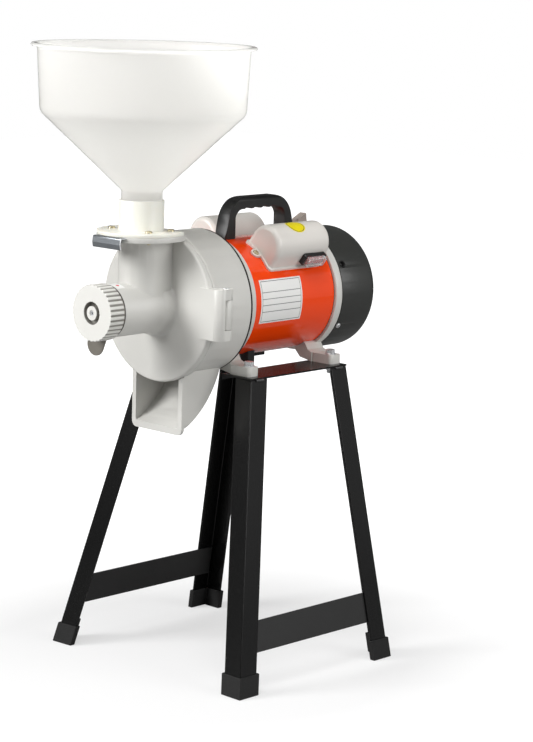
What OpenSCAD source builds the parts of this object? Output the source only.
// Electric grain mill on a leg stand. Millimetres, +Z up, floor at Z = 0.
// The motor axis runs along Y. The feed side (knob, cover) looks along -Y.
// Lengths along Y below are measured from the hopper axis.

/* [Motor] */
// Height of the motor axis above the stand
axis_up = 95; // [94:0.5:100]
// Outer radius of the painted motor shell
shell_r = 83; // [82:0.5:86]
// Wall of the motor shell
shell_wall = 2.5; // [1.5:0.5:3]
// Where the front end bell begins
bell_y = 115; // [112:1:120]
// Distance from the bell's front face to the shell
bell_len = 21; // [20:1:26]
// Length of the painted motor shell
shell_len = 164; // [160:1:180]
// Thickness of the rear end bell
rear_bell_len = 13; // [12:1:16]
// How far the bell rings stand proud of the shell
bell_proud = 5.5; // [4:0.5:7]
// Length of the fan cover
fan_cover_len = 76; // [70:1:90]
// Outer radius of the fan cover
fan_cover_r = 87.5; // [86:0.5:92]
// Wall of the fan cover
fan_cover_wall = 2; // [1.5:0.5:3]
// Number of cooling slots in the fan cover
vent_slots = 20; // [12:2:24]

/* [Rotor and stator] */
// Radius of the rotor core
rotor_r = 38; // [34:1:42]
// Length of the lamination stack
stack_len = 90; // [80:5:100]
// Radial air gap between rotor and stator
air_gap = 0.6; // [0.4:0.1:1]
// Number of stator slots
stator_slots = 24; // [12:6:36]
// Radius of the shaft's front journal
journal_r = 10; // [9:0.5:11]
// Radius of the shaft's rear journal
rear_journal_r = 8.5; // [7.5:0.5:9]
// Number of fan blades
fan_blades = 8; // [5:1:10]

/* [Mill housing] */
// Outer radius of the housing drum
drum_r = 99.5; // [97:0.5:102]
// Wall of the drum
drum_wall = 7.5; // [6:0.5:9]
// Thickness of the drum's back wall
back_wall = 9; // [8:1:11]
// Where the housing's front face lies
drum_front = 40.4; // [40:0.1:41]
// Width of the flour chute outside
chute_w = 97.6; // [90:0.4:98]
// Wall of the flour chute
chute_wall = 7.2; // [6:0.2:9]
// Front edge of the chute mouth
mouth_y = 35; // [33:0.5:37]
// Depth of the chute's lowest edge below the motor axis
chute_drop = 174.5; // [170:0.5:178]
// Radius of the chute's curved belly
belly_r = 134; // [128:1:142]

/* [Front cover] */
// Radius of the round front cover
cover_r = 104.5; // [103:0.5:106]
// Thickness of the front cover
cover_t = 10; // [9:0.5:10]
// Outer radius of the feed barrel
barrel_r = 35.5; // [34:0.5:37]
// Front end of the feed barrel, ahead of the hopper axis
barrel_front = 60; // [58:0.5:62]
// Wall of the feed barrel
barrel_wall = 4.5; // [3.5:0.5:5]
// Outer radius of the upright feed neck
neck_r = 30.5; // [29:0.5:32]
// Radius of the feed throat
throat_r = 25; // [22:0.5:26]
// Height of the neck flange's underside above the motor axis
flange_up = 93.5; // [91:0.5:96]
// Thickness of the neck flange
flange_t = 7; // [6:0.5:9]
// Radius of the neck flange and the hopper seat
flange_r = 60; // [57:0.5:62]
// Height of the hinge lug on the cover
lug_h = 69; // [60:1:76]
// Distance of the hinge pin from the motor axis
hinge_x = 114.5; // [114.5:0.5:118]
// Radius of the hinge pin
hinge_pin_r = 4; // [3:0.5:5]

/* [Grinding] */
// Radius of the grinding discs
disc_r = 75; // [70:1:78]
// Thickness of each grinding disc
disc_t = 12; // [10:1:14]
// Gap between the grinding discs
disc_gap = 1; // [0.5:0.1:2]
// Number of furrows on each grinding disc
furrows = 18; // [12:1:24]
// Radius of the feed screw's flight
auger_r = 14.5; // [12:0.5:14.5]

/* [Hopper] */
// Radius of the hopper's rolled rim
rim_r = 150; // [145:1:160]
// Radius of the hopper wall at its top
hopper_top_r = 142; // [138:0.5:144]
// Radius of the hopper wall where the cone begins
hopper_low_r = 138; // [134:0.5:140]
// Height of the hopper's upright wall
hopper_wall_h = 90; // [80:1:100]
// Height of the hopper's cone
cone_h = 104; // [95:1:112]
// Length of the hopper's spout
spout_len = 52.5; // [48:0.5:60]
// Outer radius of the hopper's spout
spout_r = 27.7; // [27:0.1:28]
// Plastic wall of the hopper
hopper_wall = 2.4; // [2:0.2:3]
// Thickness of the hopper seat's flange
seat_t = 5; // [4:0.5:6]
// Outer radius of the hopper seat's tube
tube_r = 30.5; // [30:0.5:32]
// Height of the hopper seat's tube above its flange
tube_h = 40.5; // [36:0.5:46]
// Width of the sliding gate
gate_w = 54; // [52:0.5:56]
// Thickness of the sliding gate
gate_t = 1.5; // [1:0.1:1.8]

/* [Adjuster] */
// Radius of the adjusting knob
knob_r = 38.2; // [35:0.1:40]
// Length of the adjusting knob
knob_len = 24.5; // [22:0.1:28]
// Number of grip flutes round the knob
knob_flutes = 34; // [24:1:40]
// Radius of the adjusting screw
screw_r = 8; // [7:0.5:9]
// Distance from the axis to the lock ring's tab tip
tab_reach = 66; // [54:0.5:70]
// Angle of the lock ring's tab from level
tab_angle = 67.2; // [55:0.1:80]
// Width of the lock ring's tab
tab_w = 31; // [26:0.5:34]

/* [Capacitor boxes] */
// Radius of the rounded top of each box
box_r = 28; // [26:0.5:30]
// Length of each box
box_len = 106; // [96:1:112]
// Angle of each box from upright
box_angle = 38; // [37:0.5:42]
// Distance from the motor axis to the box's round centre
box_rise = 99.5; // [97:0.5:102]
// Wall of each box
box_wall = 2.2; // [1.6:0.2:3]
// Radius of the capacitors
cap_r = 17; // [14:0.5:17.5]

/* [Switch] */
// Length of the switch bezel
bezel_len = 43; // [40:0.5:46]
// Width of the switch bezel
bezel_w = 17; // [15:0.5:17]

/* [Carry handle] */
// Length of the handle over its legs
handle_len = 142; // [130:0.5:146]
// Height of the handle above the motor shell
handle_h = 57; // [50:0.5:64]
// Thickness of the handle's bar
handle_t = 17; // [15:0.5:19]
// Width of the handle's bar
handle_w = 22; // [20:0.5:26]

/* [Stand] */
// Height of the stand's top face
stand_h = 416; // [414:0.5:418]
// Width of the stand over its top rails
stand_w = 217; // [214:1:224]
// Width of one top rail
rail_w = 57; // [54:0.5:57]
// Length of the top rails
rail_len = 194; // [192:1:198]
// Width of the stand over its rubber boots
foot_w = 377.4; // [360:0.2:390]
// How far the front legs splay forward
front_splay = 91; // [80:1:100]
// How far the rear legs splay back
rear_splay = 26; // [20:1:34]
// Width of the angle iron's flanges
angle_w = 31; // [28:0.5:34]
// Thickness of the angle iron
angle_t = 3; // [2:0.5:4]
// Height of the side braces
brace_h = 43; // [35:1:50]
// Height of the rubber boots
boot_h = 28; // [24:1:34]
// Wall of the rubber boots
boot_wall = 2.7; // [2:0.1:4]

/* [Hidden] */
$fn = 72;
// Clearances: face to face, and running fit
seat_gap = 0.3;
fit_gap = 0.05;
// How far cutting shapes reach past the faces they cut
past = 1;

// Heights that follow the stand
axis_h = stand_h + axis_up;
mouth_bottom = axis_h - chute_drop;

// Stations along Y, from the hopper axis
cover_back = drum_front - 0.4;
cover_front = cover_back - cover_t;
shell_y = bell_y + bell_len;
rear_bell_y = shell_y + shell_len;
fan_cover_y = rear_bell_y + rear_bell_len;
fan_cover_back = fan_cover_y + fan_cover_len;
mid_y = shell_y + shell_len / 2;
stack_y = mid_y - stack_len / 2;
bell_ring_r = shell_r + bell_proud;
bell_step = 7;
shell_in = shell_r - shell_wall;
spigot_len = 6;

// The frame's origin: middle of the whole length, on the floor
origin_y = -(fan_cover_back - rim_r) / 2;

// Bearings
front_bearing = [23.5, 14];
rear_bearing = [20, 11];
front_bearing_y = bell_y + 4;
rear_bearing_y = rear_bell_y + 1;
seal_r = 16;
seal_t = 6;

// Grinding discs and feed
recess_d = 3;
fixed_y = cover_back - recess_d;
turning_y = fixed_y + disc_t + disc_gap;
auger_y = -10;
auger_end = turning_y;
bore_r = barrel_r - barrel_wall;
drum_in = drum_r - drum_wall;
drum_back = bell_y - back_wall;
bead_r = cover_r - 0.5;
bead_len = 7;
boss_y = 7;
boss_r = barrel_r + 3.5;
boss_taper = 10;

// Cover hinge and clamp
hinge_y = drum_front + 8;
knuckle_r = hinge_x - bead_r - 1.5;
house_knuckle_h = 40;
lug_round = 11.5;
lug_corner = [hinge_x + knuckle_r - lug_round, cover_front - 2 + lug_round];
clamp_x = 114;
clamp_r = 4;
clamp_head = [13, 16];
ear_r = 11;
clamp_face = cover_front - 2 - seat_gap;
clamp_tip = drum_front + 14;

// Feed neck stack, heights above the floor
flange_z = axis_h + flange_up;
seat_z = flange_z + flange_t;
tube_z = seat_z + seat_t;
gate_z = seat_z - gate_t - seat_gap;
flange_flat = cover_front + 6;
seat_flat = cover_front - 1.3;
seat_screw_x = 36;
seat_screw_y = 20.5;
seat_screws_at = [for (x = [-1, 1], y = [-1, 1]) [x * seat_screw_x, y * seat_screw_y]];
hopper_wall_z = tube_z + spout_len + cone_h;
spout_z = hopper_wall_z - cone_h;
rim_h = hopper_wall_z + hopper_wall_h;

// Adjuster stations
ring_t = 2.8;
ring_y = -barrel_front - seat_gap - ring_t;
knob_back = ring_y - seat_gap;
knob_front = knob_back - knob_len;
plunger_front = -42;
front_wall = 10;

// Bells, their feet and the bolts through them; the housing's bolts share one circle
bell_bolt_ring = 62;
housing_bolt_r = 3;
housing_bolt_head = [5, 4];
housing_bolt_len = 11;
pad_h = 13;
pad_w = 38;
pad_x = 79;
pad_round = 5;
bolt_x = 88;
foot_bolt_r = 4;
bolt_hole_r = 4.5;
washer_r = 8;
washer_t = 1.6;
hex_r = 7;
hex_h = 5.4;
nut_h = 6.5;
foot_bolt_len = 14;
front_bolt_y = bell_y + 8.5;
rear_bolt_y = rear_bell_y - 11;
top_lug_w = 12;

// Windings, fan and fan cover
slot_w = 3.6;
slot_d = 22;
winding_w = 28;
winding_len = 24;
shaft_shoulder = 3;
fan_y = fan_cover_y + 14;
fan_r = 76;
fan_len = 34;
fan_plate_t = 2.5;
fan_screw_y = fan_cover_y + 5;
fan_screw_angles = [-59, -121, 121];
vent_w = 5;
vent_in = 30;
vent_out = 62;
cable_hole_r = 4.5;
cable_hole_angle = 61;

// Cable cover: its middle across, its width and its length
terminal = [34, 16, 15];
terminal_y = shell_y + 40.5;
terminal_drop = 93.5;

// Capacitor boxes
box_y = mid_y - 42;
box_mid = box_y + box_len / 2;
box_ear_r = 7;
box_ear_y = box_len / 2 + 7.5;
cap_start = 12;
cap_len = 70;
flange_w = 2.5;
flange_rise = 3;

// Switch, on the side of the right box; heights are distances from the motor axis
switch_y = mid_y + 33;
switch_z = box_rise - 3;
bezel_t = 6;
rocker_len = 29;
rocker_w = 10.5;
rocker_pin_r = 1.2;
pivot_x = box_r + 1;
switch_depth = 10;
switch_block = [36, 13];
switch_cover_h = 6.5;

// Carry handle
handle_y = mid_y + 2;
handle_bend = 38;
handle_lean = 14;
handle_foot = 21;
handle_opening = handle_len - 2 * handle_foot;
handle_inner = 14;
handle_round = 6;
handle_seat = 4;
handle_leg_ys = [for (s = [-1, 1]) handle_y + s * (handle_len - handle_foot) / 2];
handle_screw_r = 2.5;
handle_screw_len = 15;
handle_screw_head = [4, 3];
scallop_r = 11;
scallop_step = 17;
scallop_d = 2;

// Flour chute: its belly is an arc about a point behind the mouth, and a raised rim runs round the mouth
belly_back = 54;
lip_drop = 5;
floor_wall = 4;
rim_step = 1.5;
mouth_rim = 5;
mouth_rim_h = 90;
mouth_corner = 9;
belly_y = mouth_y - belly_back;
belly_z = mouth_bottom + lip_drop + sqrt(belly_r * belly_r - belly_back * belly_back);

// Stand
rail_t = 2.5;
rail_y = bell_y - 7;
lip_h = 8;
brace_z = 55;
leg_top_z = stand_h - rail_t;
leg_top_x = stand_w / 2 - 0.5;
leg_foot_x = foot_w / 2 - boot_wall;
lean = atan((leg_foot_x - leg_top_x) / leg_top_z);
front_foot_y = rail_y - front_splay + boot_wall;
rear_foot_y = rail_y + rail_len + rear_splay - boot_wall;

// Placing helpers

// Moves a piece from the hopper axis to the part's own origin
module placed() translate([0, origin_y, 0]) children();

// Lays a solid of revolution or an upright extrusion along the motor axis, from y on
module along_axis(y = 0) placed() translate([0, y, axis_h]) rotate([-90, 0, 0]) children();

// Turns local Z outward from the motor axis, leaning by an angle towards +X
module outward(a) placed() translate([0, 0, axis_h]) rotate([0, a, 0]) children();

module mirrored() {
    children();
    mirror([1, 0, 0]) children();
}

module round_rod(r, y0, y1) translate([0, y0, 0]) rotate([-90, 0, 0]) cylinder(r = r, h = y1 - y0);

// A flat outline with rounded corners, centred
module rounded_plate(w, l, r) {
    square([w - 2 * r, l], center = true);
    square([w, l - 2 * r], center = true);
    for (x = [-1, 1], y = [-1, 1]) translate([x * (w / 2 - r), y * (l / 2 - r)]) circle(r);
}

// A disc profile for rotate_extrude with rounded outer edges
module disc_profile(r0, r1, z0, z1, f0, f1) {
    difference() {
        translate([r0, z0]) square([r1 - r0, z1 - z0]);
        if (f0 > 0) corner_cut(r1, z0, f0, 1);
        if (f1 > 0) corner_cut(r1, z1, f1, -1);
    }
}

// Takes the outer corner at [r, z] off with a radius f; up is 1 at the low side
module corner_cut(r, z, f, up) {
    difference() {
        translate([r - f, up > 0 ? z - 1 : z - f]) square([f + 1, f + 1]);
        translate([r - f, z + up * f]) circle(f);
    }
}

// A ring with its bore, laid along the motor axis
module ring(r0, r1, y0, y1) along_axis(y0) difference() {
    cylinder(r = r1, h = y1 - y0);
    translate([0, 0, -1]) cylinder(r = r0, h = y1 - y0 + 2);
}

// A helical tube as one closed mesh, for the spring
function coil_point(r, pitch, a) = [r * cos(a), r * sin(a), pitch * a / 360];
module coil(r, wire, pitch, turns, sides = 8, steps = 20) {
    n = turns * steps;
    points = [for (i = [0:n], k = [0:sides - 1])
        let (a = i * 360 / steps, b = k * 360 / sides)
        coil_point(r + wire * cos(b), pitch, a) + [0, 0, wire * sin(b)]];
    walls = [for (i = [0:n - 1], k = [0:sides - 1])
        let (m = (k + 1) % sides)
        [i * sides + k, (i + 1) * sides + k, (i + 1) * sides + m, i * sides + m]];
    first = [for (k = [0:sides - 1]) k];
    last = [for (k = [sides - 1:-1:0]) n * sides + k];
    polyhedron(points, concat(walls, [first, last]), convexity = 6);
}

// Stand

// Top rail: a flat strip with turned-down long edges, drilled for the motor feet
module top_rail() placed() difference() {
    union() {
        translate([stand_w / 2 - rail_w, rail_y, leg_top_z]) cube([rail_w, rail_len, rail_t]);
        translate([stand_w / 2 - rail_w, rail_y, stand_h - lip_h]) cube([rail_t, rail_len, lip_h]);
    }
    for (y = [front_bolt_y, rear_bolt_y])
        translate([bolt_x, y, leg_top_z - past]) cylinder(r = bolt_hole_r, h = rail_t + 2 * past);
}

// Puts local Z along a leg whose outer corner runs from its foot to its top; rear legs face back
module along_leg(front) {
    foot_y = front ? front_foot_y : rear_foot_y;
    top_y = front ? rail_y + 0.5 : rail_y + rail_len - 0.5;
    d = [leg_top_x - leg_foot_x, top_y - foot_y, leg_top_z];
    placed() translate([leg_foot_x, foot_y, 0])
        rotate([asin(-d.y / norm(d)), atan(d.x / d.z), 0])
        mirror([0, front ? 0 : 1, 0]) children();
}

// Angle section with its outer corner at the origin, grown all round by e
module angle_section(e = 0) {
    translate([-angle_w - e, -e]) square([angle_w + 2 * e, angle_t + 2 * e]);
    translate([-angle_t - e, -e]) square([angle_t + 2 * e, angle_w + 2 * e]);
}

module slab(z0, z1) translate([-400, -400, z0]) cube([800, 800, z1 - z0]);

module leg(front) intersection() {
    along_leg(front) translate([0, 0, -60]) linear_extrude(leg_top_z + 150) angle_section();
    slab(boot_wall, leg_top_z);
}

// Rubber boot: a sleeve round the angle iron with a closed sole
module boot(front) difference() {
    intersection() {
        along_leg(front) translate([0, 0, -60]) linear_extrude(200) angle_section(boot_wall);
        slab(0, boot_h);
    }
    intersection() {
        along_leg(front) translate([0, 0, -60]) linear_extrude(200) angle_section(fit_gap);
        slab(boot_wall, boot_h + 1);
    }
}

// Side brace: a flat strip welded inside the legs' side flanges
module brace() {
    front_y = front_foot_y + angle_t + front_splay * 0.25;
    back_y = rear_foot_y - angle_t - rear_splay * 0.25;
    placed() translate([leg_foot_x, 0, 0]) rotate([0, -lean, 0])
        translate([-2 * angle_t, front_y, brace_z]) cube([angle_t, back_y - front_y, brace_h]);
}

// Hex bolts through the motor feet and the rails, each with washer and nut
module foot_bolts() color("silver") placed() mirrored() for (y = [front_bolt_y, rear_bolt_y])
    translate([bolt_x, y, stand_h + pad_h]) {
        cylinder(r = washer_r, h = washer_t);
        translate([0, 0, washer_t]) cylinder(r = hex_r, h = hex_h, $fn = 6);
        translate([0, 0, -pad_h - foot_bolt_len]) cylinder(r = foot_bolt_r, h = pad_h + foot_bolt_len + past);
        translate([0, 0, -pad_h - rail_t - nut_h]) cylinder(r = hex_r, h = nut_h, $fn = 6);
    }

// Motor

module motor_shell() color("orangered") difference() {
    ring(shell_in, shell_r, shell_y, rear_bell_y);
    for (y = handle_leg_ys) placed() translate([0, y, axis_h])
        cylinder(r = handle_screw_r + seat_gap, h = shell_r + past);
}

// Laminations with winding slots that open to the air gap
module stator_core() color("dimgray") along_axis(stack_y) difference() {
    cylinder(r = shell_in - fit_gap, h = stack_len);
    translate([0, 0, -1]) cylinder(r = rotor_r + air_gap, h = stack_len + 2);
    for (i = [0:stator_slots - 1]) rotate([0, 0, i * 360 / stator_slots])
        translate([rotor_r - 2, -slot_w / 2, -past]) cube([slot_d + 2, slot_w, stack_len + 2 * past]);
}

// End turns of the windings, one bundle at each end of the stack
module stator_windings() color("peru") for (y = [stack_y - winding_len, stack_y + stack_len])
    along_axis(y) rotate_extrude() translate([rotor_r + 22, winding_len / 2])
        rounded_plate(winding_w, winding_len, 8);

// Cast foot: a pad on the rail and a low web to the bell's ring, clear of the shell above it
module bell_foot(y0, y1, web0, web1, bolt_y) placed() mirrored() difference() {
    union() {
        translate([pad_x, (y0 + y1) / 2, stand_h]) linear_extrude(pad_h)
            rounded_plate(pad_w, y1 - y0, pad_round);
        translate([pad_x - pad_w / 2, web1, stand_h]) rotate([90, 0, 0]) linear_extrude(web1 - web0)
            polygon([[2, 0], [2, pad_h], [-5, 16], [-10, 24], [-20, 32], [-30, 14], [-20, 4]]);
    }
    translate([bolt_x, bolt_y, stand_h - past]) cylinder(r = bolt_hole_r, h = pad_h + 2 * past);
    translate([0, shell_y, axis_h]) rotate([-90, 0, 0]) cylinder(r = shell_r + seat_gap, h = shell_len);
}

// Front end bell: ring, bearing seat, spigot and feet
module front_bell() color("gainsboro") difference() {
    union() {
        along_axis(bell_y) rotate_extrude() {
            disc_profile(0, shell_in - 3, 0, bell_len, 0, 0);
            disc_profile(0, bell_ring_r, bell_step, bell_len, 2, 2);
        }
        ring(shell_in - 6, shell_in - fit_gap, shell_y, shell_y + spigot_len);
        bell_foot(bell_y - 2, bell_y + 19, bell_y + 0.5, shell_y + 6, front_bolt_y);
    }
    along_axis(bell_y - 1) cylinder(r = journal_r + 2, h = bell_len + 2);
    along_axis(front_bearing_y) cylinder(r = front_bearing[0] + fit_gap, h = bell_len);
    along_axis(bell_y - past) for (a = [45:90:315]) rotate([0, 0, a]) translate([bell_bolt_ring, 0, 0])
        cylinder(r = housing_bolt_r + 0.1, h = 16);
    along_axis(shell_y) cylinder(r = shell_in - 6, h = 40);
}

// Rear end bell: ring, bearing seat, spigots, feet and a small cast lug on top
module rear_bell() color("gainsboro") difference() {
    union() {
        along_axis(rear_bell_y) rotate_extrude() {
            disc_profile(0, bell_ring_r - 1, 0, rear_bell_len, 2, 2);
            disc_profile(0, fan_cover_r - fan_cover_wall - fit_gap, rear_bell_len - 1,
                rear_bell_len + 8, 0, 0);
        }
        ring(shell_in - 6, shell_in - fit_gap, rear_bell_y - spigot_len, rear_bell_y);
        bell_foot(rear_bell_y - 20, rear_bell_y + 2, rear_bell_y - 22, fan_cover_y - 2, rear_bolt_y);
        placed() translate([-top_lug_w / 2, rear_bell_y, axis_h + bell_ring_r]) rotate([90, 0, 90])
            linear_extrude(top_lug_w)
            polygon([[2, -4], [12, -4], [12, 4.5], [22, 6.5], [20, 20.5], [4, 12.5]]);
    }
    along_axis(rear_bell_y - 1) cylinder(r = rear_journal_r + 2, h = rear_bell_len + 20);
    along_axis(rear_bearing_y) cylinder(r = rear_bearing[0] + fit_gap, h = rear_bell_len + 20);
    along_axis(fan_cover_y) cylinder(r = fan_cover_r - 12, h = 20);
    for (a = fan_screw_angles) outward(a) translate([0, fan_screw_y, fan_cover_r - 14])
        cylinder(r = 1.9, h = 20);
}

// Deep-groove ball bearings: outer rings in the bells
module bearing_outer_rings() color("lightsteelblue") {
    bearing_ring(front_bearing_y, front_bearing, journal_r, true);
    bearing_ring(rear_bearing_y, rear_bearing, rear_journal_r, true);
}
module bearing_inner_rings() color("lightsteelblue") {
    bearing_ring(front_bearing_y, front_bearing, journal_r, false);
    bearing_ring(rear_bearing_y, rear_bearing, rear_journal_r, false);
}
function pitch_r(size, bore) = (size[0] + bore) / 2;
function ball_r(size, bore) = (size[0] - bore) * 0.27;
module bearing_ring(y, size, bore, outer) along_axis(y) rotate_extrude() difference() {
    pr = pitch_r(size, bore);
    br = ball_r(size, bore);
    if (outer) translate([pr + br * 0.55, 0]) square([size[0] - pr - br * 0.55, size[1]]);
    else translate([bore + fit_gap, 0]) square([pr - br * 0.55 - bore - fit_gap, size[1]]);
    translate([pr, size[1] / 2]) circle(br + fit_gap);
}
module bearing_balls() color("white") {
    ball_row(front_bearing_y, front_bearing, journal_r);
    ball_row(rear_bearing_y, rear_bearing, rear_journal_r);
}
module ball_row(y, size, bore) along_axis(y + size[1] / 2)
    for (i = [0:7]) rotate([0, 0, i * 45]) translate([pitch_r(size, bore), 0, 0])
        sphere(r = ball_r(size, bore), $fn = 32);

// Fan cover: a deep pressed cap with radial vent slots and a cable hole
module fan_cover() color("#3c3c3c") difference() {
    along_axis(fan_cover_y) rotate_extrude() difference() {
        disc_profile(0, fan_cover_r, 0, fan_cover_len, 0, 16);
        disc_profile(0, fan_cover_r - fan_cover_wall, -1, fan_cover_len - fan_cover_wall, 0, 14);
    }
    along_axis(fan_cover_back - 10) for (i = [0:vent_slots - 1]) rotate([0, 0, i * 360 / vent_slots]) {
        translate([vent_in, -vent_w / 2, 0]) cube([vent_out - vent_in, vent_w, 20]);
        for (x = [vent_in, vent_out]) translate([x, 0, 0]) cylinder(r = vent_w / 2, h = 20);
    }
    for (a = fan_screw_angles) outward(a) translate([0, fan_screw_y, fan_cover_r - 10])
        cylinder(r = 2.2, h = 20);
    outward(cable_hole_angle) translate([0, fan_cover_y + 9, fan_cover_r - 10])
        cylinder(r = cable_hole_r, h = 20);
}
module fan_cover_screws() color("silver") for (a = fan_screw_angles)
    outward(a) translate([0, fan_screw_y, fan_cover_r]) {
        translate([0, 0, 0.1]) cylinder(r = 4, h = 2.6);
        translate([0, 0, -10]) cylinder(r = 1.8, h = 11);
    }

module main_shaft() color("lightgray") along_axis() rotate_extrude() polygon([
    [0, auger_end], [journal_r, auger_end],
    [journal_r, shell_y + 8], [journal_r + shaft_shoulder, shell_y + 8],
    [journal_r + shaft_shoulder, rear_bell_y - 4], [rear_journal_r, rear_bell_y - 4],
    [rear_journal_r, fan_cover_back - 18], [0, fan_cover_back - 18]]);

module rotor_core() color("slategray") difference() {
    ring(journal_r + shaft_shoulder + fit_gap, rotor_r, stack_y, stack_y + stack_len);
    along_axis(stack_y - 1) for (i = [0:17]) rotate([0, 0, i * 20]) translate([rotor_r - 5, 0, 0])
        cylinder(r = 2, h = stack_len + 2);
}

// Cooling fan: hub, back plate and straight blades
module cooling_fan() color("#2b2b2b") along_axis(fan_y) difference() {
    union() {
        cylinder(r = 16, h = fan_len);
        cylinder(r = fan_r - 2, h = fan_plate_t);
        for (i = [0:fan_blades - 1]) rotate([0, 0, i * 360 / fan_blades])
            translate([10, -fan_plate_t / 2, 0]) cube([fan_r - 10, fan_plate_t, fan_len]);
    }
    translate([0, 0, -past]) cylinder(r = rear_journal_r + fit_gap, h = fan_len + 2 * past);
}

// Speed-sensing switch on the shaft: hub, sliding collar and two flyweights
module centrifugal_switch() color("goldenrod") along_axis(stack_y + stack_len + 4) difference() {
    union() {
        cylinder(r = 20, h = 4);
        cylinder(r = 17, h = 16);
        for (s = [-1, 1]) translate([s * 25, 0, 6]) cube([20, 16, 8], center = true);
    }
    translate([0, 0, -1]) cylinder(r = journal_r + shaft_shoulder + fit_gap, h = 30);
}

// Moulded cable cover under the shell
module terminal_cover() color("#1d1d1d") difference() {
    placed() translate([terminal.x, terminal_y, axis_h - terminal_drop]) linear_extrude(30)
        rounded_plate(terminal.y, terminal.z, 3);
    along_axis(shell_y) cylinder(r = shell_r + fit_gap, h = shell_len);
}

// Capacitor boxes

module box_form(r, l, f, z0) {
    translate([0, box_y, box_rise]) rotate([-90, 0, 0]) rotate_extrude() disc_profile(0, r, 0, l, f, f);
    translate([0, box_y + l / 2, z0]) linear_extrude(box_rise - z0) rounded_plate(2 * r, l, f);
}
// Saddle flange with a screw ear at each end
module box_flange() intersection() {
    translate([0, box_mid, 60]) linear_extrude(60) {
        rounded_plate(2 * (box_r + flange_w), box_len + 2 * flange_w, 8);
        for (s = [-1, 1]) translate([0, s * box_ear_y]) {
            circle(box_ear_r);
            translate([-box_ear_r, s > 0 ? -8 : 0]) square([2 * box_ear_r, 8]);
        }
    }
    difference() {
        round_rod(shell_r + flange_rise, box_y - 30, box_y + box_len + 30);
        round_rod(shell_r + fit_gap, box_y - 40, box_y + box_len + 40);
    }
}
module capacitor_box(side) outward(side * box_angle) difference() {
    union() {
        difference() {
            box_form(box_r, box_len, 7, 60);
            round_rod(shell_r + fit_gap, box_y - 40, box_y + box_len + 40);
        }
        box_flange();
    }
    translate([0, box_wall, 0]) box_form(box_r - box_wall, box_len - 2 * box_wall, 5, 55);
    for (s = [-1, 1]) translate([0, box_mid + s * box_ear_y, 60]) cylinder(r = 2.2, h = 40);
    if (side > 0) switch_body_block(0.15);
}
module capacitor_box_right() color("#c9c8c4") capacitor_box(1);
module capacitor_box_left() color("#c9c8c4") capacitor_box(-1);
module capacitors() color("#e8e8e8") for (side = [-1, 1]) outward(side * box_angle)
    translate([0, box_y + cap_start, shell_r + seat_gap + cap_r]) rotate([-90, 0, 0]) rotate_extrude()
        disc_profile(0, cap_r, 0, cap_len, 2, 2);
module box_screws() color("#b9a76a") for (side = [-1, 1], s = [-1, 1]) outward(side * box_angle)
    translate([0, box_mid + s * box_ear_y, shell_r + flange_rise]) {
        translate([0, 0, 0.1]) cylinder(r = 4, h = 2.4);
        translate([0, 0, -2.6]) cylinder(r = 2, h = 4);
    }

// Switch

module switch_body_block(e)
    translate([box_r - switch_depth - e, switch_y - switch_block.x / 2 - e,
        switch_z - switch_block.y / 2 - e])
    cube([switch_depth + 0.5 + 2 * e, switch_block.x + 2 * e, switch_block.y + 2 * e]);
module switch_body() color("#1d1d1d") outward(box_angle) difference() {
    union() {
        switch_body_block(0);
        translate([box_r + 0.1, switch_y, switch_z]) rotate([0, 90, 0])
            linear_extrude(bezel_t) rounded_plate(bezel_w, bezel_len, 3);
    }
    translate([pivot_x - 6, switch_y - rocker_len / 2 - 1, switch_z - rocker_w / 2 - 0.5])
        cube([30, rocker_len + 2, rocker_w + 1]);
    translate([pivot_x, switch_y, switch_z - rocker_w / 2 - 2])
        cylinder(r = rocker_pin_r + fit_gap, h = rocker_w + 4);
}
// Rocker: a shallow V in plan that tips about a pin across the switch
module switch_rocker() color("red") outward(box_angle)
    translate([pivot_x, switch_y, switch_z - rocker_w / 2]) {
    linear_extrude(rocker_w) polygon([[-1.5, -12], [-1.5, 12], [3, rocker_len / 2], [7.5, rocker_len / 2 - 1],
        [5.5, 0], [7.5, 1 - rocker_len / 2], [3, -rocker_len / 2]]);
    translate([0, 0, -1]) cylinder(r = rocker_pin_r, h = rocker_w + 2);
}
module switch_cover() color("#ffffff60") outward(box_angle)
    translate([box_r + 0.1 + bezel_t, switch_y, switch_z]) rotate([0, 90, 0]) difference() {
        linear_extrude(switch_cover_h) rounded_plate(rocker_w + 4, rocker_len + 7, 2);
        translate([0, 0, -past]) linear_extrude(switch_cover_h - 0.9 + past)
            rounded_plate(rocker_w + 2, rocker_len + 5, 1);
    }

// Carry handle: a bow cut from its side view, rounded along the bar and up the legs
// Side view: two legs that lean towards each other, run into the bar by two arcs
module bow_side(h) {
    arc_z = h - handle_bend;
    arc_y = handle_len / 2 - (handle_bend + arc_z * sin(handle_lean)) / cos(handle_lean);
    meet = [arc_y + handle_bend * cos(handle_lean), arc_z + handle_bend * sin(handle_lean)];
    polygon([[-handle_len / 2, 0], [handle_len / 2, 0], meet, [arc_y, h], [-arc_y, h], [-meet.x, meet.y]]);
    intersection() {
        for (s = [-1, 1]) translate([s * arc_y, arc_z]) circle(handle_bend);
        translate([-handle_len / 2, 0]) square([handle_len, h]);
    }
}
module upper_plate(w, h, r) intersection() {
    rounded_plate(w, 2 * h, r);
    translate([-w / 2, 0]) square([w, h]);
}
module handle_bow(h) intersection() {
    translate([-handle_w / 2, 0, 0]) rotate([90, 0, 90]) linear_extrude(handle_w) difference() {
        bow_side(h);
        rounded_plate(handle_opening, 2 * (h - handle_t), handle_inner);
    }
    translate([0, handle_len / 2 + 1, 0]) rotate([90, 0, 0]) linear_extrude(handle_len + 2)
        upper_plate(handle_w, h, handle_round);
    linear_extrude(h) rounded_plate(handle_w, handle_len, handle_round);
}
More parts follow.
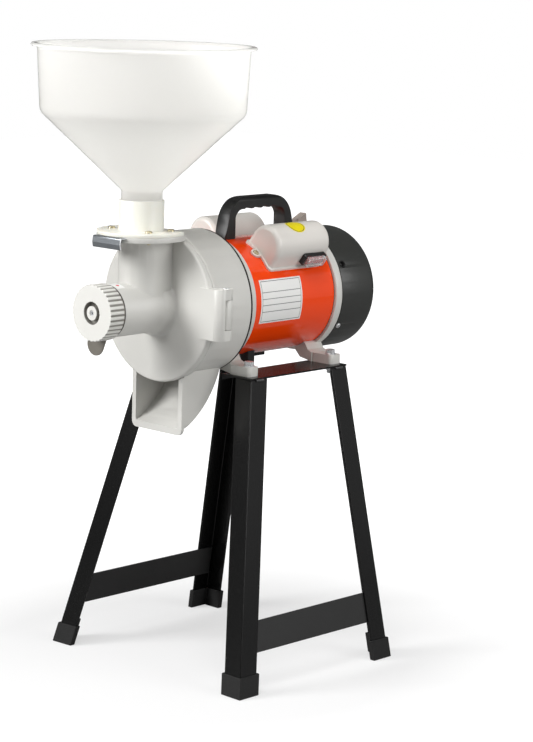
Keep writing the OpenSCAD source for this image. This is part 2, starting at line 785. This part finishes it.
module carry_handle() color("#222222") difference() {
    top = axis_h + shell_r + handle_h;
    placed() translate([0, handle_y, axis_h + shell_r - handle_seat]) handle_bow(handle_h + handle_seat);
    along_axis(shell_y) cylinder(r = shell_r + fit_gap, h = shell_len);
    for (i = [-1.5:1:1.5]) placed()
        translate([-handle_w, handle_y + i * scallop_step, top - handle_t + scallop_d - scallop_r])
        rotate([0, 90, 0]) cylinder(r = scallop_r, h = 2 * handle_w);
    for (y = handle_leg_ys) placed() translate([0, y, axis_h])
        cylinder(r = handle_screw_r + fit_gap, h = shell_r + 16);
}
module handle_screws() color("silver") for (y = handle_leg_ys) placed()
    translate([0, y, axis_h + shell_in - 0.3]) {
        translate([0, 0, -handle_screw_head.y]) cylinder(r = handle_screw_head.x, h = handle_screw_head.y);
        translate([0, 0, -past]) cylinder(r = handle_screw_r, h = handle_screw_len + past);
    }

// Mill housing

// Side view of the chute out to a belly radius, from a front plane to a back plane
module chute_side(r, y0, y1, z1) intersection() {
    translate([belly_y, belly_z]) circle(r, $fn = 180);
    translate([y0, mouth_bottom - 20]) square([y1 - y0, z1 - mouth_bottom + 20]);
}
module chute_block(w, r, y0, y1, z1, corner) intersection() {
    translate([-w / 2, 0, 0]) rotate([90, 0, 90]) linear_extrude(w) chute_side(r, y0, y1, z1);
    translate([0, y1 + 1, mouth_bottom + lip_drop + belly_r - r + 200]) rotate([90, 0, 0])
        linear_extrude(y1 - y0 + 2) rounded_plate(w, 400, corner);
}
module mill_housing() color("#d5d5d0") difference() {
    union() {
        along_axis(drum_front) rotate_extrude() {
            disc_profile(0, drum_r, 0, bell_y - drum_front, 0, 3);
            disc_profile(0, bead_r, 0, bead_len, 2, 2);
        }
        placed() chute_block(chute_w - 2 * rim_step, belly_r, mouth_y + 1, bell_y, axis_h, mouth_corner);
        placed() translate([0, mouth_y + mouth_rim, mouth_bottom + mouth_rim_h / 2]) rotate([90, 0, 0])
            linear_extrude(mouth_rim) rounded_plate(chute_w, mouth_rim_h, mouth_corner);
        placed() translate([hinge_x, hinge_y, axis_h - house_knuckle_h / 2]) {
            cylinder(r = knuckle_r, h = house_knuckle_h);
            translate([-20, -4, 0]) cube([20, 8, house_knuckle_h]);
        }
        placed() translate([-clamp_x, drum_front + 2, axis_h]) rotate([-90, 0, 0]) {
            cylinder(r = ear_r, h = 10);
            translate([0, -ear_r, 0]) cube([18, 2 * ear_r, 10]);
        }
    }
    // room for the round cover in front of the housing
    along_axis(0) cylinder(r = cover_r + 1.4, h = drum_front);
    // grinding chamber and the way down to the mouth
    along_axis(drum_front - 1) cylinder(r = drum_in, h = drum_back - drum_front + 1);
    placed() chute_block(chute_w - 2 * chute_wall, belly_r - floor_wall, mouth_y - 1, drum_back, axis_h, 5);
    along_axis(drum_back - 1) cylinder(r = journal_r + 1, h = back_wall + 2);
    along_axis(drum_back + 1) cylinder(r = seal_r + fit_gap, h = back_wall);
    along_axis(drum_back - past) for (a = [45:90:315]) rotate([0, 0, a])
        translate([bell_bolt_ring, 0, 0]) cylinder(r = housing_bolt_r + 0.2, h = back_wall + 2 * past);
    placed() translate([hinge_x, hinge_y, axis_h - lug_h]) cylinder(r = hinge_pin_r + fit_gap, h = 2 * lug_h);
    placed() translate([-clamp_x, 0, axis_h]) rotate([-90, 0, 0])
        cylinder(r = clamp_r + 1.4, h = drum_front + 20);
}
module housing_bolts() color("silver") along_axis(drum_back) for (a = [45:90:315])
    rotate([0, 0, a]) translate([bell_bolt_ring, 0, 0]) {
        translate([0, 0, -housing_bolt_head.y - 0.1])
            cylinder(r = housing_bolt_head.x, h = housing_bolt_head.y, $fn = 6);
        translate([0, 0, -past]) cylinder(r = housing_bolt_r, h = back_wall + housing_bolt_len + past);
    }
module shaft_seal() color("#3a2f2a")
    ring(journal_r + fit_gap, seal_r, drum_back + 1.2, drum_back + 1.2 + seal_t);
module hinge_pin() color("silver") placed() translate([hinge_x, hinge_y, axis_h - lug_h / 2 - 1])
    cylinder(r = hinge_pin_r, h = lug_h + 2);

// Grinding set

// Slanted furrows cut in one face of a grinding disc
module furrow_set(z) for (i = [0:furrows - 1]) rotate([0, 0, i * 360 / furrows])
    translate([bore_r - 6, -14, z]) rotate([0, 0, 8]) cube([60, 3, 3]);
module fixed_disc() color("#8d8f90") difference() {
    along_axis(fixed_y + fit_gap) difference() {
        cylinder(r = disc_r, h = disc_t - fit_gap);
        translate([0, 0, -1]) cylinder(r = bore_r, h = disc_t + 2);
        furrow_set(disc_t - 2);
        for (a = [0:120:240]) rotate([0, 0, a + 5]) translate([disc_r - 10, 0, -1]) {
            cylinder(r = 2.6, h = disc_t + 2);
            translate([0, 0, disc_t - 4]) cylinder(r = 5.3, h = 10);
        }
    }
}
module turning_disc() color("#8d8f90") difference() {
    along_axis(turning_y) difference() {
        cylinder(r = disc_r, h = disc_t);
        furrow_set(-1);
    }
    along_axis(turning_y - 1) cylinder(r = journal_r + fit_gap, h = disc_t + 2);
}
module disc_screws() color("silver") along_axis(fixed_y) for (a = [0:120:240])
    rotate([0, 0, a + 5]) translate([disc_r - 10, 0, 0]) {
        translate([0, 0, disc_t - 4 + seat_gap]) cylinder(r = 5, h = 2.6);
        translate([0, 0, -4]) cylinder(r = 2.5, h = disc_t + 2);
    }

// Feed auger: a core with a helical flight, screwed on the shaft's end
module auger_flight() translate([4, 0]) square([auger_r - 4, 5]);
module feed_auger() color("#9a9c9d") along_axis(auger_y) {
    len = auger_end - auger_y - fit_gap;
    cylinder(r = 7, h = len, $fn = 32);
    linear_extrude(len - 3, twist = -620, slices = 60, $fn = 12) auger_flight();
    translate([0, 0, len - 3]) cylinder(r = auger_r, h = 3, $fn = 32);
}

// Flour scraper: a hub behind the turning disc with two wiping arms
module flour_scraper() color("#8d8f90") difference() {
    along_axis(turning_y + disc_t + fit_gap) {
        cylinder(r = 22, h = 8);
        for (s = [0, 180]) rotate([0, 0, s]) {
            translate([15, -5, 0]) cube([drum_in - 21, 10, 8]);
            translate([drum_in - 18, -2, 0]) cube([12, 4, drum_back - turning_y - disc_t - 9]);
        }
    }
    along_axis(turning_y) cylinder(r = journal_r + fit_gap, h = 60);
}

// Front cover

// Profile of the round that blends a boss of radius r into the cover's face
module face_fillet(r, f) translate([0, -f]) difference() {
    translate([r - 1, 0]) square([f + 1, f + 1]);
    translate([r + f, 0]) circle(f);
}
module front_cover() color("#d5d5d0") difference() {
    union() {
        along_axis(cover_front) rotate_extrude() disc_profile(0, cover_r, 0, cover_t, 3, 2);
        along_axis(-barrel_front) rotate_extrude()
            disc_profile(0, barrel_r, 0, barrel_front + cover_front + 1, 2, 0);
        // boss that widens from the barrel towards the cover's face
        along_axis(boss_y) rotate_extrude() polygon([[0, 0], [barrel_r - 1, 0], [boss_r, boss_taper],
            [boss_r, cover_front - boss_y + 1], [0, cover_front - boss_y + 1]]);
        along_axis(cover_front) rotate_extrude() face_fillet(boss_r, 5);
        // upright neck with a half-round front
        placed() translate([0, 0, axis_h]) cylinder(r = neck_r, h = flange_up + 1);
        placed() translate([-neck_r, 0, axis_h]) cube([2 * neck_r, cover_front + 1, flange_up + 1]);
        placed() translate([0, 0, flange_z]) linear_extrude(flange_t) intersection() {
            circle(flange_r);
            translate([-flange_r, -flange_r]) square([2 * flange_r, flange_r + flange_flat]);
        }
        cover_lug();
        placed() translate([-clamp_x, cover_front - 2, axis_h]) rotate([-90, 0, 0]) {
            cylinder(r = ear_r, h = cover_t);
            translate([0, -ear_r, 0]) cube([20, 2 * ear_r, cover_t]);
        }
    }
    // feed barrel's bore, screw thread bore and throat
    along_axis(front_wall - barrel_front) cylinder(r = bore_r, h = barrel_front + cover_back);
    along_axis(-barrel_front - 1) cylinder(r = screw_r + fit_gap, h = front_wall + 2);
    placed() translate([0, 0, axis_h]) cylinder(r = throat_r, h = flange_up + flange_t + 1);
    // channel for the gate
    placed() translate([-gate_w / 2 - 0.5, -flange_r - 1, gate_z - seat_gap])
        cube([gate_w + 1, flange_r + throat_r + 4, 10]);
    // seat of the fixed grinding disc and its screws
    along_axis(fixed_y) cylinder(r = disc_r + 0.5, h = 20);
    along_axis(fixed_y - 5) for (a = [0:120:240]) rotate([0, 0, a + 5])
        translate([disc_r - 10, 0, 0]) cylinder(r = 2.6, h = 10);
    for (p = seat_screws_at) placed() translate([p.x, p.y, flange_z - 1]) cylinder(r = 2.1, h = 20);
    placed() translate([-clamp_x, 0, axis_h]) rotate([-90, 0, 0]) cylinder(r = clamp_r + 0.3, h = 60);
}
// Hinge lug: a plate over two knuckles, with the housing's knuckle between them
module cover_lug() placed() difference() {
    z0 = axis_h - lug_h / 2;
    gap = house_knuckle_h + 1;
    union() {
        translate([0, 0, z0]) linear_extrude(lug_h) {
            translate([lug_corner.x - 26, cover_front - 2]) square([26, 11]);
            translate(lug_corner) circle(lug_round);
            translate([hinge_x, hinge_y]) circle(knuckle_r);
            translate([hinge_x - knuckle_r, lug_corner.y]) square([2 * knuckle_r, hinge_y - lug_corner.y]);
        }
    }
    translate([hinge_x - 60, drum_front - seat_gap - 0.5, z0 - 1])
        cube([60 - knuckle_r - 0.5, 40, lug_h + 2]);
    translate([hinge_x - 40, hinge_y - knuckle_r - 0.7, axis_h - gap / 2]) cube([80, 40, gap]);
    translate([hinge_x, hinge_y, z0 - 1]) cylinder(r = hinge_pin_r + fit_gap, h = lug_h + 2);
}

// Hopper seat, gate and hopper

module seat_outline(r, flat) intersection() {
    circle(r);
    translate([-r, -r]) square([2 * r, r + flat]);
}
module hopper_seat() color("ivory") placed() difference() {
    union() {
        translate([0, 0, seat_z]) linear_extrude(seat_t) seat_outline(flange_r, seat_flat);
        translate([0, 0, tube_z]) cylinder(r = tube_r, h = tube_h);
    }
    translate([0, 0, seat_z - 1]) cylinder(r = throat_r, h = 20);
    translate([0, 0, tube_z]) cylinder(r = spout_r + seat_gap, h = tube_h + 1);
    for (p = seat_screws_at) translate([p.x, p.y, seat_z - 1]) cylinder(r = 2.3, h = 20);
}
module seat_screws() color("#b9a76a") placed() for (p = seat_screws_at) translate([p.x, p.y, tube_z]) {
    translate([0, 0, 0.05]) cylinder(r = 5, h = 3);
    translate([0, 0, -seat_t - flange_t - 4]) cylinder(r = 2, h = seat_t + flange_t + 5);
}
// Gate: a sheet with its front edge turned down as a finger grip
module gate() color("#55575a") placed() {
    front = flange_r + 2.4;
    translate([-gate_w / 2, -front, gate_z]) cube([gate_w, front + throat_r + 1.5, gate_t]);
    translate([gate_w / 2, -front, gate_z + gate_t]) rotate([0, -90, 0]) linear_extrude(gate_w)
        polygon([[0, 0], [-2, -1], [-9, -2], [-15, -1], [-16, 0.2], [-15.3, 1], [-9, -0.4], [-2.6, 0.6],
            [-gate_t, 1.8], [0, 1.8]]);
}
// Hopper: one thin moulded wall from the spout to the rolled rim
module hopper() color("white") placed() rotate_extrude($fn = 120) {
    w = hopper_wall;
    difference() {
        polygon([[0, tube_z + seat_gap], [spout_r, tube_z + seat_gap], [spout_r, spout_z],
            [hopper_low_r - 4, hopper_wall_z - 4], [hopper_low_r, hopper_wall_z + 6],
            [hopper_top_r, rim_h - 3], [hopper_top_r + 1, rim_h], [0, rim_h]]);
        polygon([[0, tube_z - 1], [spout_r - w, tube_z - 1], [spout_r - w, spout_z + 1],
            [hopper_low_r - 4 - w, hopper_wall_z - 3], [hopper_low_r - w, hopper_wall_z + 6],
            [hopper_top_r - w, rim_h + 1], [0, rim_h + 1]]);
    }
    difference() {
        translate([hopper_top_r - 1, rim_h - 4]) square([rim_r - hopper_top_r + 1, 4]);
        translate([0, rim_h - 5]) square([hopper_top_r - w, 6]);
        corner_cut(rim_r, rim_h, 2.5, -1);
    }
}

// Adjuster

module thrust_plunger() color("silver") along_axis(plunger_front + seat_gap) {
    cylinder(r = 14, h = 6);
    cylinder(r = 7, h = 14);
}
module thrust_spring() color("dimgray") along_axis(plunger_front + seat_gap + 6 + 1.3)
    coil(9.5, 1.2, 4.6, 4);
module adjust_knob() color("#cfcfca") difference() {
    along_axis(knob_front) rotate_extrude() difference() {
        disc_profile(0, knob_r, 0, knob_len, 1, 1.5);
        translate([9.5, -1]) square([6, 9]);
    }
    along_axis(knob_front - 1) for (i = [0:knob_flutes - 1]) rotate([0, 0, i * 360 / knob_flutes])
        translate([knob_r + 0.6, 0, 0]) cylinder(r = 2, h = knob_len + 2, $fn = 16);
    along_axis(knob_front - 1) cylinder(r = screw_r - 4 + fit_gap, h = knob_len + 2);
    along_axis(knob_front + knob_len - 10) cylinder(r = screw_r + fit_gap, h = 20);
}
// Adjusting screw: a slotted end in the knob's boss, then the thrust thread
module adjust_screw() color("silver") difference() {
    along_axis() rotate_extrude() polygon([[0, knob_front + 1], [screw_r - 4, knob_front + 1],
        [screw_r - 4, knob_back - 9.8], [screw_r, knob_back - 9.8], [screw_r, plunger_front],
        [0, plunger_front]]);
    along_axis(knob_front) cylinder(r = 1.8, h = 5, $fn = 6);
}
module lock_ring() color("#6e6a63") along_axis(ring_y) difference() {
    linear_extrude(ring_t) {
        circle(knob_r - 2.5);
        rotate(-tab_angle) {
            translate([-tab_reach + tab_w / 2, 0]) circle(tab_w / 2);
            translate([-tab_reach + tab_w / 2, -tab_w / 2]) square([tab_reach - tab_w / 2, tab_w]);
        }
    }
    translate([0, 0, -1]) cylinder(r = screw_r + 0.1, h = ring_t + 2);
}

// Clamp

module clamp_washer() color("silver") placed() translate([-clamp_x, clamp_face - washer_t, axis_h])
    rotate([-90, 0, 0]) difference() {
        cylinder(r = ear_r, h = washer_t);
        translate([0, 0, -1]) cylinder(r = clamp_r + fit_gap, h = 4);
    }
module clamp_screw() color("silver") placed() translate([-clamp_x, 0, axis_h]) rotate([90, 0, 0]) {
    translate([0, 0, seat_gap + washer_t - clamp_face]) rotate_extrude()
        disc_profile(0, clamp_head.x, 0, clamp_head.y, 1.5, 1.5);
    translate([0, 0, -clamp_tip]) cylinder(r = clamp_r, h = clamp_tip - clamp_face + washer_t + 2);
}

module top_rail_right() color("#1b1b1b") top_rail();
module top_rail_left() color("#1b1b1b") mirror([1, 0, 0]) top_rail();
module leg_front_right() color("#1b1b1b") leg(true);
module leg_front_left() color("#1b1b1b") mirror([1, 0, 0]) leg(true);
module leg_rear_right() color("#1b1b1b") leg(false);
module leg_rear_left() color("#1b1b1b") mirror([1, 0, 0]) leg(false);
module brace_right() color("#1b1b1b") brace();
module brace_left() color("#1b1b1b") mirror([1, 0, 0]) brace();
module boot_front_right() color("#101010") boot(true);
module boot_front_left() color("#101010") mirror([1, 0, 0]) boot(true);
module boot_rear_right() color("#101010") boot(false);
module boot_rear_left() color("#101010") mirror([1, 0, 0]) boot(false);

top_rail_right();
top_rail_left();
leg_front_right();
leg_front_left();
leg_rear_right();
leg_rear_left();
brace_right();
brace_left();
boot_front_right();
boot_front_left();
boot_rear_right();
boot_rear_left();
foot_bolts();
motor_shell();
stator_core();
stator_windings();
front_bell();
rear_bell();
bearing_outer_rings();
fan_cover();
fan_cover_screws();
capacitor_box_right();
capacitor_box_left();
capacitors();
box_screws();
carry_handle();
handle_screws();
switch_body();
switch_cover();
terminal_cover();
mill_housing();
housing_bolts();
shaft_seal();
hinge_pin();
main_shaft();
rotor_core();
cooling_fan();
bearing_inner_rings();
bearing_balls();
turning_disc();
feed_auger();
flour_scraper();
centrifugal_switch();
front_cover();
fixed_disc();
disc_screws();
hopper_seat();
seat_screws();
gate();
hopper();
thrust_plunger();
thrust_spring();
adjust_knob();
adjust_screw();
lock_ring();
clamp_washer();
clamp_screw();
switch_rocker();
